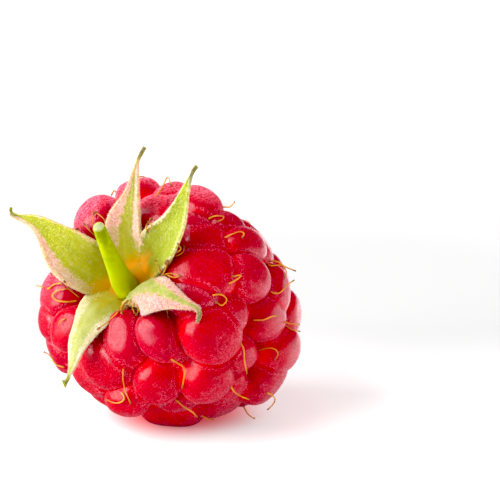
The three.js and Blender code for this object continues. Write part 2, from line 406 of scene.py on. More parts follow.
def fillPoints(d, placed):  # on a golden-angle spiral, then pushed apart
    index = np.arange(d["fillCount"])
    tau = np.degrees(np.arccos(1 - 2 * (index + 0.5) / d["fillCount"]))
    points = bodyPoint(tau, index * 180 * (3 - math.sqrt(5)))
    apart = np.linalg.norm(points[:, None] - placed, axis=2).min(1)
    points = points[(tau >= d["fillStart"]) & (apart >= d["fillClearance"])]
    for _ in range(d["fillSteps"]):
        away = points[:, None] - np.vstack([placed, points])
        gap = np.linalg.norm(away, axis=2)
        near = (gap > 1e-6) & (gap < d["fillReach"])
        push = np.where(near, (d["fillReach"] - gap) * d["fillPush"] / np.maximum(gap, 1e-6), 0)
        tau, psi = bodyAngles(points + (away * push[..., None]).sum(1))
        points = bodyPoint(np.maximum(tau, d["fillLimit"]), psi)
    return points


def layOut(d):  # every drupelet as its middle, its three directions and its half sizes
    table = np.array(d["placed"], float)
    placed = bodyPoint(table[:, 0], table[:, 1])
    filled = fillPoints(d, placed)
    points = np.vstack([placed, filled])
    gaps = np.sort(np.linalg.norm(filled[:, None] - points, axis=2), axis=1)
    gaps = gaps[:, 1:d["fillNeighbours"] + 1].mean(1) * d["fillWidth"]
    width = np.concatenate([table[:, 2], gaps]) / 2 * d["overlap"]
    length = np.concatenate([table[:, 3], gaps * d["fillStretch"]]) / 2 * d["overlap"]
    height = np.concatenate([table[:, 4], np.full(len(filled), -d["fillSink"])])
    normal = bodyNormal(points)
    across = unit(np.cross([0, 0, 1], normal))
    turns = np.stack([across, np.cross(normal, across), normal], 1)
    sizes = np.stack([width, length, np.full(len(points), d["depth"])], 1)
    return points + normal * (height - d["depth"])[:, None], turns, sizes


def quadBall(cuts):
    deselectAll()
    bpy.ops.mesh.primitive_cube_add(size=2)
    bpy.ops.object.mode_set(mode="EDIT")
    bpy.ops.mesh.subdivide(number_cuts=cuts)
    bpy.ops.transform.tosphere(value=1)
    bpy.ops.object.mode_set(mode="OBJECT")
    return bpy.context.object


def makeCore(d):
    deselectAll()
    segments, rings = d["coreRings"]
    bpy.ops.mesh.primitive_uv_sphere_add(segments=segments, ring_count=rings, radius=1)
    core = bpy.context.object
    p = coords(core)
    tau = np.degrees(np.arccos(np.clip(p[:, 2], -1, 1)))
    psi = np.degrees(np.arctan2(p[:, 1], p[:, 0]))
    body = bodyPoint(np.clip(tau, 0.2, 179.8), psi)
    body -= bodyNormal(body) * d["coreInset"]
    body[:, 2] = np.minimum(body[:, 2], fruit["seatFloor"])
    setCoords(core, toTable(body))
    return core


def cutSeat(berry, height):
    deselectAll()
    bpy.ops.mesh.primitive_cylinder_add(vertices=96, radius=1, depth=1)
    seat = bpy.context.object
    p = coords(seat)
    p[:, :2] *= fruit["seatRadius"]
    p[:, 2] = fruit["seatFloor"] + (p[:, 2] + 0.5) * height
    setCoords(seat, toTable(p))
    applyModifier(berry, "BOOLEAN", operation="DIFFERENCE", object=seat, solver="MANIFOLD")
    bpy.data.objects.remove(seat)


def makeDrupelets(d, middles, turns, sizes):
    patterns = [quadBall(d["seenCuts"]), quadBall(d["hiddenCuts"])]
    balls = []
    for pattern in patterns:
        ball = unit(coords(pattern))
        girth = np.hypot(ball[:, 0], ball[:, 1])
        power = d["squareness"]
        swell = (girth ** power + np.abs(ball[:, 2]) ** power) ** (-1 / power)
        balls.append(ball * swell[:, None])
    heap = bpy.data.collections.new("drupeletHeap")
    scene.collection.children.link(heap)
    for i in range(len(middles)):
        kind = 0 if i < len(d["placed"]) else 1
        one = bpy.data.objects.new("drupelet", patterns[kind].data.copy())
        heap.objects.link(one)
        p = middles[i] + balls[kind] * sizes[i] @ turns[i]
        wave = [noise.noise(Vector(q / d["rippleSize"] + 7 * i)) for q in p]
        p = toTable(p + (balls[kind] @ turns[i]) * np.array(wave)[:, None] * d["ripple"])
        p[:, 2] = np.maximum(p[:, 2], d["tableGap"] * mm)
        setCoords(one, p)
    for pattern in patterns:
        bpy.data.objects.remove(pattern)
    berry = makeCore(d)
    berry.name = berry.data.name = "drupeletSkins"
    applyModifier(berry, "BOOLEAN", operation="UNION", operand_type="COLLECTION", collection=heap,
                  solver="MANIFOLD")
    for one in list(heap.objects):
        bpy.data.objects.remove(one)
    bpy.data.collections.remove(heap)
    cutSeat(berry, d["seatCut"])
    smoothBare(berry)
    return berry


# which drupelet each point belongs to, how near its crown and how far on its frosted side, which gets a
# painted sheen, and where the painted backlight veil goes
def markDrupelets(berry, d, middles, turns, sizes):
    p = toFruit(coords(berry))
    frostAndSheenWay = basis @ unit(np.array(d["frostAndSheenWay"]))
    nearest, second = np.full(len(p), np.inf), np.full(len(p), np.inf)
    owner = np.zeros(len(p), int)
    crown, underside = np.zeros(len(p)), np.zeros(len(p))
    for i in range(len(middles)):
        local = (p - middles[i]) @ turns[i].T / sizes[i]
        size = np.linalg.norm(local, axis=1)
        closer = size < nearest
        second = np.where(closer, nearest, np.minimum(second, size))
        nearest[closer], owner[closer], crown[closer] = size[closer], i, local[closer, 2]
        underside[closer] = (unit(local) @ (turns[i] @ frostAndSheenWay))[closer]
    tone = np.random.default_rng(d["toneSeed"]).random(len(middles))
    backlit = (toTable(p) / mm - centre) @ np.array(d["hazeWay"])
    setAttributes(berry, backlit=smoothStep(backlit, *d["hazeReach"]), crown=np.clip(crown, 0, 1),
                  seam=second - nearest, underside=underside, tone=tone[owner])


def drupeletMaterial(d):
    m, shader = material("drupeletSkin", d["skin"])
    tone = ranged(attribute("tone"), 0.1, 0.9)
    seam = attribute("seam")
    turned = node("LayerWeight", Blend=0.5).outputs["Facing"]
    # red flesh, deeper on the crowns, with a painted glow in the creases and along the seams where two
    # drupelets meet, for light that shines through the flesh
    scarlet = mixed(tone, rgb(164, 0, 16), rgb(152, 0, 28))
    glow = mixed(tone, rgb(214, 0, 3), rgb(200, 0, 8))
    fleshWithPaintedGlow = mixed(ranged(attribute("crown"), 0.2, 0.8), glow, scarlet)
    clouded = mixed(speckle(1.3, 3, 0.45, 0.75), fleshWithPaintedGlow, rgb(150, 0, 22))
    withSeamGlow = mixed(ranged(seam, 0.02, 0.08, 0.4, 0), clouded, rgb(192, 0, 6))
    # painted sheen on the frosted side, where the floor lights it, and a painted pale veil where the light
    # comes from behind
    patchy = plus(attribute("underside"), speckle(0.6, 3, 0.2, 0.8))
    low = ranged(patchy, 0.85, 1.4)
    withLowSheen = mixed(times(low, 0.08), withSeamGlow, rgb(206, 60, 92))
    veil = times(ranged(turned, 0.08, 0.75, 0, 0.9), attribute("backlit"))
    grain = ranged(speckle(0.2, 2, 0.4, 0.6), 0, 1, 0.25, 1)
    veiled = mixed(times(veil, grain), withLowSheen, rgb(242, 122, 142))
    # dots of frost with painted sheen, most of them at the rims where the skin turns away and along the
    # seams, and some on the frosted side
    seamSheenRim = times(ranged(seam, 0.05, 0.1), ranged(seam, 0.12, 0.22, 0.2, 0))
    edge = plus(ranged(turned, 0.6, 1.0, 0, 0.45), seamSheenRim)
    frostAndSheen = plus(times(low, 0.14), plus(edge, 0.05))
    dots = speckle(0.12, 2, 0.46, 0.62)
    frostedAndSheened = mixed(times(dots, frostAndSheen), veiled, rgb(250, 150, 166))
    wire(frostedAndSheened, shader.inputs["Base Color"])
    rough = ranged(speckle(0.11, 3, 0.42, 0.6), 0, 1, 0.12, 0.26)
    wire(rough, shader.inputs["Roughness"])
    gloss = ranged(speckle(0.14, 3, 0.42, 0.6), 0, 1, 0.5, 0)
    wire(gloss, shader.inputs["Coat Weight"])
    bump(speckle(0.13, 3, 0.25, 0.75), shader, 0.7, 0.012)
    return m


middles, turns, sizes = layOut(drupelets)
berry = makeDrupelets(drupelets, middles, turns, sizes)
markDrupelets(berry, drupelets, middles, turns, sizes)
berry.data.materials.append(drupeletMaterial(drupelets))
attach(berry, "root")
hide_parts("drupelets")
print("drupelets", len(middles), "triangles", triangles(berry))


# Calyx

calyx = {
    "discRadius": 3.2,
    "discFoot": 3.7,
    "discThickness": 0.85,
    "discSides": 64,
    "sepalThickness": 0.3,
    "stations": 44,
    "columns": 14,
    "samples": 200,
    "ridge": (0.1, 0.16),  # how far the midrib stands out, and how broad it is
    "wave": (0.09, 17, 2.1),  # of the margins: height, waves along the blade, shift from blade to blade
    "leastWidth": 0.045,
    "feltEdge": (0.12, 0.2),  # it fades in from this much before its start to this much after
    "bareFoot": (0.05, 0.25),  # it starts this far along the blade, and fades in over this much
    "warmFoot": (4.7, 0.7),  # below this height every blade is this orange
    "leaf": {
        "Roughness": 0.8, "Specular IOR Level": 0.15,
        "Subsurface Weight": 0.85, "Subsurface Radius": (1.0, 1.0, 0.2), "Subsurface Scale": 0.9 * mm,
        "Sheen Weight": 0.05, "Sheen Roughness": 0.5,
    },
    # midrib points as distance from the axis, degrees round it and height; half the width;
    # how far the margins curl up; how soon the tail narrows; then for the two margins where
    # their felt starts, and how much and how far along the foot is pinched in;
    # how pink the felt is, the green of the middle and how orange its foot.
    # One blade has a prong at its tip, and one keeps its foot bare of felt for longer.
    "sepals": [
        {"midrib": [(1.2, 272, 4.0), (4.0, 264.5, 5.9), (7.3, 253.3, 7.58), (8.95, 251.3, 8.15),
                    (10.51, 252.2, 8.42), (11.77, 253.7, 8.58), (12.21, 253.4, 8.71), (12.29, 251.5, 8.89)],
         "halfWidth": 2.3, "curl": 0.25, "tail": 0.25, "felt": (0.5, 0.95), "pinch": ((0.2, 0.5), (0, 0.5)),
         "blush": 0.75, "tint": (136, 138, 2), "warmth": 0.55},
        {"midrib": [(1.2, 200, 4.0), (4.4, 192, 5.7), (7.2, 182, 7.4), (9.64, 179.2, 8.71),
                    (10.61, 177.9, 8.99), (11.28, 176.9, 9.02)],
         "halfWidth": 1.9, "curl": 0.3, "tail": 0.42, "felt": (0.38, 0.38), "pinch": ((0, 0.5), (0, 0.5)),
         "blush": 0.85, "tint": (116, 112, 16), "warmth": 0.25},
        {"midrib": [(1.2, 132, 4.0), (4.4, 132, 6.0), (7.2, 136, 7.4), (9.6, 144.8, 8.2),
                    (10.67, 148.4, 8.2), (11.53, 150.2, 8.27), (12.08, 150.5, 8.22)],
         "halfWidth": 2.15, "curl": 0.3, "tail": 0.3, "felt": (0.84, 0.96), "pinch": ((0, 0.5), (0.32, 0.5)),
         "blush": 0.2, "tint": (122, 132, 14), "warmth": 1.0},
        {"midrib": [(1.2, 5, 4.4), (1.6, 32, 5.0), (1.95, 58, 5.5), (2.8, 76, 6.05), (3.8, 80.5, 6.35),
                    (5.6, 81, 6.9), (7.5, 81, 6.5), (8.2, 81.3, 6.18), (8.71, 81.5, 5.86),
                    (9.04, 79.6, 5.68), (8.95, 75, 5.07)],
         "halfWidth": 2.2, "curl": -0.2, "tail": 0.3, "felt": (0.45, 0.12),
         "pinch": ((0.86, 0.61), (0.6, 0.4)), "blush": 1.0, "tint": (134, 140, 72), "warmth": -0.5,
         "bare": 0.3},
        {"midrib": [(1.2, 344, 4.1), (4.0, 342, 6.4), (6.4, 345, 6.8), (8.6, 349, 6.6),
                    (9.95, 347.2, 5.9), (10.49, 345.2, 5.67)],
         "halfWidth": 1.6, "curl": -0.2, "tail": 0.2, "felt": (0.56, 0.5), "pinch": ((0, 0.5), (-0.45, 0.5)),
         "blush": 0.2, "tint": (148, 150, 96), "warmth": 0.1, "prong": 0.2},
    ],
}


def curvePoints(control, count):  # centripetal Catmull-Rom, evenly spaced
    p = np.vstack([2 * control[0] - control[1], control, 2 * control[-1] - control[-2]])
    dense = []
    for i in range(1, len(p) - 2):
        q = p[i - 1:i + 3]
        t = np.concatenate([[0], np.cumsum(np.sqrt(np.linalg.norm(np.diff(q, axis=0), axis=1)))])
        u = np.linspace(t[1], t[2], 40, endpoint=i == len(p) - 3)[:, None]
        for first, reach in ((0, 1), (0, 2), (1, 1)):
            q = [a * (t[k + reach] - u) / (t[k + reach] - t[k]) + b * (u - t[k]) / (t[k + reach] - t[k])
                 for k, (a, b) in enumerate(zip(q, q[1:]), first)]
        dense.append(q[0])
    dense = np.vstack(dense)
    run = np.concatenate([[0], np.cumsum(np.linalg.norm(np.diff(dense, axis=0), axis=1))])
    at = np.linspace(0, run[-1], count)
    return np.stack([np.interp(at, run, dense[:, k]) for k in range(3)], 1)


def interpolated(at, rows):
    return np.stack([np.interp(at, np.arange(len(rows)), column) for column in rows.T], 1)


def halfWidths(c, leaf, s, v):
    reach = (1 - s) ** 1.6 * (0.9 + 3.4 * s) * (1 - leaf["tail"] * smoothStep(s, 0.35, 0.8))
    reach = np.maximum(reach, c["leastWidth"]) + leaf.get("prong", 0) * smoothStep(s, 0.95, 1)
    reach = leaf["halfWidth"] * reach
    for margin, (strength, end) in zip((v < 0, v >= 0), leaf["pinch"]):
        reach *= 1 - strength * margin * (1 - smoothStep(s, 0.3 * end, end))
    return reach


def makeSepal(k, c):  # s runs along the blade from 0 to 1, and v across it from -1 to 1
    leaf = c["sepals"][k]
    deselectAll()
    bpy.ops.mesh.primitive_grid_add(x_subdivisions=c["stations"], y_subdivisions=c["columns"], size=2)
    sepal = bpy.context.object
    flat = coords(sepal)
    s, v = (flat[:, 0] + 1) / 2, flat[:, 1]
    line = curvePoints(np.array([polar(*q) for q in leaf["midrib"]]), c["samples"])
    at = s * (c["samples"] - 1)
    along = unit(interpolated(at, unit(np.gradient(line, axis=0))))
    side = unit(np.cross(along, [0, 0, 1]))
    normal = np.cross(side, along)
    reach = halfWidths(c, leaf, s, v)
    lift = leaf["curl"] * reach * v * v * np.minimum(1, 3 * s)
    height, breadth = c["ridge"]
    ridge = height * np.exp(-(v / breadth) ** 2) * (1 - s)
    height, waves, shift = c["wave"]
    wave = height * np.abs(v) ** 3 * np.sin(s * waves + k * shift + np.sign(v)) * np.minimum(1, 4 * s)
    fold = 0.5 * leaf.get("prong", 0) * leaf["halfWidth"] * (1 - np.abs(v)) * smoothStep(s, 0.95, 1)
    p = interpolated(at, line) + side * (v * reach)[:, None] + normal * (lift + ridge + wave)[:, None]
    p -= along * fold[:, None]
    setCoords(sepal, toTable(p))
    applyModifier(sepal, "SOLIDIFY", thickness=c["sepalThickness"] * mm, offset=0.0, use_even_offset=False)
    return sepal, p, s, v


def makeCalyx(c):
    deselectAll()
    bpy.ops.mesh.primitive_cylinder_add(vertices=c["discSides"], radius=c["discRadius"],
                                        depth=c["discThickness"])
    disc = bpy.context.object
    applyModifier(disc, "BEVEL", width=0.3, segments=4)
    p = coords(disc)
    p[:, 2] += c["discFoot"] + c["discThickness"] / 2
    setCoords(disc, toTable(p))
    blades = []
    for k, leaf in enumerate(c["sepals"]):
        sepal, p, s, v = makeSepal(k, c)
        start = np.where(v < 0, leaf["felt"][0], leaf["felt"][1])
        before, after = c["feltEdge"]
        foot, footReach = c["bareFoot"]
        bare = np.where(v < 0, leaf.get("bare", foot), foot)
        felt = smoothStep(np.abs(v), start - before, start + after) * smoothStep(s, bare, bare + footReach)
        blades.append(np.column_stack([p, s, v, felt, np.full(len(p), k)]))
        applyModifier(disc, "BOOLEAN", operation="UNION", object=sepal, solver="MANIFOLD")
        bpy.data.objects.remove(sepal)
    disc.name = disc.data.name = "calyxLeaves"
    smoothBare(disc)
    markCalyx(disc, c, np.vstack(blades))
    return disc


def markCalyx(disc, c, blades):  # each point takes the values of the nearest point of a blade
    lookup = KDTree(len(blades))
    for i, row in enumerate(blades):
        lookup.insert(row[:3], i)
    lookup.balance()
    p = toFruit(coords(disc))
    rows = blades[[lookup.find(q)[1] for q in p]]
    owner = rows[:, 6].astype(int)
    blush, warmth = np.array([(leaf["blush"], leaf["warmth"]) for leaf in c["sepals"]])[owner].T
    height, foot = c["warmFoot"]
    setAttributes(disc, along=rows[:, 3], across=rows[:, 4], felt=rows[:, 5], leaf=owner, blush=blush,
                  warmth=np.where(p[:, 2] < height, foot, warmth), outward=np.hypot(p[:, 0], p[:, 1]))
    tints = np.array([rgb(*leaf["tint"]) for leaf in c["sepals"]])[owner]
    tint = disc.data.attributes.new("tint", "FLOAT_COLOR", "POINT")
    tint.data.foreach_set("color", tints.astype(np.float32).ravel())


def leafMaterial(c):
    m, shader = material("sepalLeaf", c["leaf"])
    along, across = attribute("along"), attribute("across")
    outward, warmth = attribute("outward"), attribute("warmth")
    # veined and mottled green, with down on it further out
    flat = node("CombineXYZ")
    wire(times(across, 7.0), flat.inputs[0])
    wire(times(along, 2.2), flat.inputs[1])
    wire(times(attribute("leaf"), 5.0), flat.inputs[2])
    streaks = node("TexNoise", Scale=1.0, Detail=3.0)
    wire(flat.outputs[0], streaks.inputs["Vector"])
    vein = ranged(streaks.outputs["Fac"], 0.42, 0.66)
    fresh = node("Attribute", attribute_name="tint").outputs["Color"]
    green = mixed(times(vein, 0.22), fresh, rgb(160, 166, 88))
    mottled = mixed(times(speckle(1.0, 3, 0.42, 0.7), 0.55), green, rgb(112, 120, 1))
    downy = times(speckle(0.13, 2, 0.44, 0.64), ranged(outward, 3.5, 7.5, 0.1, 0.36))
    haired = mixed(downy, mottled, rgb(190, 198, 108))
    # felt along the margins, with a ragged edge
    blush = attribute("blush")
    pale = mixed(blush, rgb(168, 166, 122), rgb(184, 108, 104))
    white = mixed(blush, rgb(192, 184, 162), rgb(192, 156, 150))
    felt = mixed(speckle(0.17, 3, 0.36, 0.62), pale, white)
    felt = mixed(times(speckle(0.5, 3, 0.45, 0.65), 0.35), felt, haired)
    ragged = times(speckle(0.35, 3, 0.3, 0.7), 0.7)
    edge = plus(attribute("felt"), ragged)
    body = mixed(ranged(edge, 0.45, 1.15), haired, felt)
    # painted shade as darker olive towards the stalk, then orange towards it, and dark tips
    uneven = plus(outward, times(speckle(1.6, 2, 0.3, 0.7), 1.6))
    bare = ranged(warmth, -0.5, 0.0)
    shady = mixed(warmth, rgb(134, 134, 8), rgb(106, 104, 0))
    olive = mixed(times(bare, ranged(uneven, 2.6, 7.0, 0.9, 0)), body, shady)
    orange = mixed(warmth, rgb(134, 124, 0), rgb(182, 112, 0))
    base = mixed(times(bare, ranged(uneven, 2.0, 4.3, 1, 0)), olive, orange)
    tips = mixed(ranged(along, 0.8, 0.96, 0, 0.85), base, rgb(76, 84, 18))
    wire(tips, shader.inputs["Base Color"])
    height = plus(speckle(0.13, 3, 0.2, 0.8), times(vein, 0.7))
    bump(height, shader, 0.5, 0.03)
    return m


leaves = makeCalyx(calyx)
leaves.data.materials.append(leafMaterial(calyx))
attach(leaves, "root")
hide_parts("calyx")
print("calyx triangles", triangles(leaves))


# Stalk

stalk = {
    "radius": 0.525,
    "swelling": 0.38,  # evenly towards the foot
    "flare": 0.25,  # most of it at the foot
    "cutWorn": 0.86,  # the cut edge is worn round
    "rings": 40,
    "sides": 32,
    "line": [(0.7, 20, 4.35), (0.13, 334, 5.3), (0.72, 130, 7.6), (1.76, 156, 10.0), (2.99, 162, 12.47)],
    "skin": {
        "Roughness": 0.6, "Specular IOR Level": 0.2,
        "Subsurface Weight": 0.9, "Subsurface Radius": (0.9, 1.0, 0.1), "Subsurface Scale": 1.2 * mm,
    },
}


def tubeAlong(name, line, radii, sides):  # closed round tube through the points, in the fruit's frame
    deselectAll()
    count = len(line)
    bpy.ops.mesh.primitive_cylinder_add(vertices=sides, radius=1, depth=2, end_fill_type="NGON")
    tube = bpy.context.object
    bpy.ops.object.mode_set(mode="EDIT")
    bpy.ops.mesh.select_mode(type="EDGE")
    bpy.ops.mesh.select_all(action="DESELECT")
    bpy.ops.object.mode_set(mode="OBJECT")
    for edge in tube.data.edges:
        a, b = (tube.data.vertices[i].co.z for i in edge.vertices)
        edge.select = abs(a - b) > 1
    bpy.ops.object.mode_set(mode="EDIT")
    bpy.ops.mesh.subdivide_edgering(number_cuts=count - 2, interpolation="LINEAR")
    bpy.ops.object.mode_set(mode="OBJECT")
    p = coords(tube)
    row = np.clip(np.rint((p[:, 2] + 1) / 2 * (count - 1)).astype(int), 0, count - 1)
    tangent = unit(np.gradient(line, axis=0))
    side = np.empty_like(line)
    side[0] = unit(np.cross(tangent[0], [0.3, 0.9, 0.31]))
    for i in range(1, count):
        side[i] = unit(side[i - 1] - tangent[i] * (side[i - 1] @ tangent[i]))
    other = np.cross(tangent, side)
    placed = line[row] + (side[row] * p[:, :1] + other[row] * p[:, 1:2]) * np.asarray(radii)[row][:, None]
    setCoords(tube, toTable(placed))
    setAttributes(tube, run=row / (count - 1))
    tube.name = tube.data.name = name
    smoothBare(tube)
    return tube


def makeStalk(c):
    line = curvePoints(np.array([polar(*q) for q in c["line"]]), c["rings"])
    s = np.linspace(0, 1, c["rings"])
    radii = c["radius"] + c["swelling"] * (1 - s) + c["flare"] * (1 - s) ** 2
    radii[-1] *= c["cutWorn"]
    tube = tubeAlong("stalkStem", line, radii, c["sides"])
    setAttributes(tube, fromCut=(line[-1] - toFruit(coords(tube))) @ unit(line[-1] - line[-3]))
    return tube


def stalkMaterial(c):
    m, shader = material("stalkSkin", c["skin"])
    run = attribute("run")
    # painted light and shade: darker towards the cut, which the key lamp lights most, and brighter towards
    # the foot, which lies in its own shade
    green = mixed(run, rgb(166, 184, 2), rgb(104, 118, 2))
    green = mixed(speckle(0.8, 2, 0.35, 0.7), green, rgb(150, 160, 2))
    green = mixed(ranged(run, 0.0, 0.25, 0.6, 0), green, rgb(126, 124, 0))
    cut = mixed(speckle(0.15, 2, 0.4, 0.6), rgb(160, 158, 136), rgb(144, 148, 104))
    skin = mixed(ranged(attribute("fromCut"), 0.0, 0.25, 0.8, 0), green, cut)
    wire(skin, shader.inputs["Base Color"])
    bump(speckle(0.1, 2, 0.2, 0.8), shader, 0.3, 0.02)
    return m


stem = makeStalk(stalk)
stem.data.materials.append(stalkMaterial(stalk))
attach(stem, "root")
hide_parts("stalk")
print("stalk triangles", triangles(stem))


# The dried stamens that stand round the calyx

stamens = {
    "filamentRadius": 0.058,
    "taper": (1.2, 0.7),
    "sides": 6,
    "rings": 12,
    "stand": (0.1, 0.35),  # height over the surface at the root, and how much it grows
    "tableGap": 0.4,
    "antherSize": (0.17, 0.12, 0.1),
    "bigAnthers": (0, 6),
    "bigSize": (0.3, 0.24, 0.2),
    # threads as they show from the camera, from root to anther
    "onCalyx": [
        [(131, 300), (128.5, 304), (126.5, 307.5)], [(134, 303), (132.5, 308), (134.5, 312.5)],
        [(128, 300), (123, 304), (119.5, 309.5)], [(136, 304), (138.5, 309), (136.5, 315)],
        [(126, 302), (121, 308.5), (122, 313)], [(124, 306), (114, 316), (107, 322.5), (98.5, 328.5)],
        [(161, 277), (165, 270), (167, 263)], [(162, 275), (170, 273.5), (180, 275.5)],
        [(162, 274), (158, 266), (155.5, 261)], [(163, 273), (169, 266), (173, 258)],
        [(148, 233), (146, 226), (151, 219)], [(147, 230), (152, 226), (148, 222)],
        [(176, 253), (181, 249), (178, 244)], [(175, 257), (183, 252), (184, 247)],
    ],
    "onFruit": [
        [(97, 236), (93.5, 226), (93.5, 213.5)], [(104, 238), (105, 221), (95.5, 212)],
        [(99, 240), (92, 233), (84, 224.3)], [(92, 243), (84, 236), (77, 229)],
        [(80, 298), (68, 288), (64.7, 281.7)], [(74, 288), (62, 280), (51.7, 273.6)],
        [(108, 321.8), (103, 325.5), (98.9, 328.3)],
    ],
    "hidden": 30,
    "seed": 5,
    "skin": {
        "Roughness": 0.6,
        "Subsurface Weight": 0.3, "Subsurface Radius": (0.6, 0.4, 0.1), "Subsurface Scale": 0.2 * mm,
    },
}


def surfaceOf(*objs):
    points, faces = [], []
    for obj in objs:
        faces += [[i + len(points) for i in f.vertices] for f in obj.data.polygons]
        points += [v.co.copy() for v in obj.data.vertices]
    return BVHTree.FromPolygons(points, faces)


# thread that is seen along the pixels and lies on the surface
def threadPoints(surface, pixels, stand, count):
    lift, rise = stand
    line = curvePoints(np.array([(x, y, 0) for x, y in pixels], float), count)
    hits = [surface.ray_cast(*sight(q[:2]))[0] for q in line]
    start = np.array(sight(line[0][:2])[0])
    far = np.array([np.linalg.norm(np.array(h) - start) if h else np.nan for h in hits])
    known = np.flatnonzero(~np.isnan(far))
    far = np.interp(np.arange(count), known, far[known])
    step = np.linalg.norm(np.diff(line, axis=0), axis=1) / cameraLook["pixelsPerMm"] * mm
    step *= 0.8  # the steepest that it follows, and it stands off where the surface falls away
    for i in range(1, count):
        far[i] = min(far[i], far[i - 1] + step[i - 1])
    for i in range(count - 2, -1, -1):
        far[i] = min(far[i], far[i + 1] + step[i])
    run = np.linspace(0, 1, count)
    far -= (lift + rise * np.sin(np.pi * np.minimum(run * 1.1, 1) * 0.5)) * mm
    far[0] += (lift + 0.25) * mm  # the root goes in under the surface
    return np.array([start + np.array(sight(q[:2])[1]) * f for q, f in zip(line, far)])


def keepInside(points, tableGap):  # the box of the solids, and a little above the table
    low, high = np.array(cadBox[0]) - 0.3 * mm, np.array(cadBox[1]) + 0.3 * mm
    low[2] = tableGap * mm
    return np.clip(points, low, high)


def anther(place, along, size, seed):
    deselectAll()
    bpy.ops.mesh.primitive_ico_sphere_add(subdivisions=2, radius=1)
    head = bpy.context.object
    rng = np.random.default_rng(seed)
    p = unit(coords(head)) * size * rng.uniform(0.8, 1.2) * mm
    p *= 1 + 0.12 * np.sin(9 * unit(p)[:, :1] + seed)  # a little shrivelled
    side = unit(np.cross(along, [0.3, 0.2, 0.9]))
    setCoords(head, place + p @ np.stack([along, side, np.cross(along, side)]))
    smoothBare(head)
    return head


def makeStamens(c):
    lines = []
    for front, threads in ((surfaceOf(berry, leaves), c["onCalyx"]), (surfaceOf(berry), c["onFruit"])):
        lines += [threadPoints(front, pixels, c["stand"], c["rings"]) for pixels in threads]
    rng = np.random.default_rng(c["seed"])
    for k in range(c["hidden"]):  # the rest stand in a ring under the blades
        psi = 360 * (k + rng.uniform(-0.3, 0.3)) / c["hidden"]
        turn = rng.uniform(-14, 14)
        far, high = rng.uniform(4.9, 6.0), rng.uniform(5.0, 5.8)
        control = np.array([polar(2.7, psi, 4.2), polar(3.6, psi + turn * 0.4, 4.6),
                            polar(far * 0.9, psi + turn, high), polar(far, psi + turn * 1.5, high - 0.3)])
        lines.append(toTable(curvePoints(control, c["rings"])))
    pieces = []
    for i, line in enumerate(lines):
        line = keepInside(line, c["tableGap"])
        radii = c["filamentRadius"] * np.linspace(*c["taper"], len(line))
        filament = tubeAlong("filament", toFruit(line), radii, c["sides"])
        size = c["bigSize"] if i in c["bigAnthers"] else c["antherSize"]
        head = anther(line[-1], unit(line[-1] - line[-2]), size, i)
        setAttributes(filament, head=np.zeros(len(filament.data.vertices)))
        setAttributes(head, head=np.ones(len(head.data.vertices)))
        pieces += [filament, head]
    return joined(pieces, "driedStamens")


def stamenMaterial(c):
    m, shader = material("driedStamen", c["skin"])
    straw = mixed(speckle(0.5, 2, 0.35, 0.65), rgb(190, 130, 28), rgb(150, 96, 20))
    brown = mixed(speckle(0.1, 2, 0.4, 0.6), rgb(140, 92, 30), rgb(86, 50, 16))
    wire(mixed(attribute("head"), straw, brown), shader.inputs["Base Color"])
    return m


tufts = makeStamens(stamens)
tufts.data.materials.append(stamenMaterial(stamens))
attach(tufts, "root")
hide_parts("stamens")
print("stamens triangles", triangles(tufts))


# Styles, the golden threads left on the drupelets

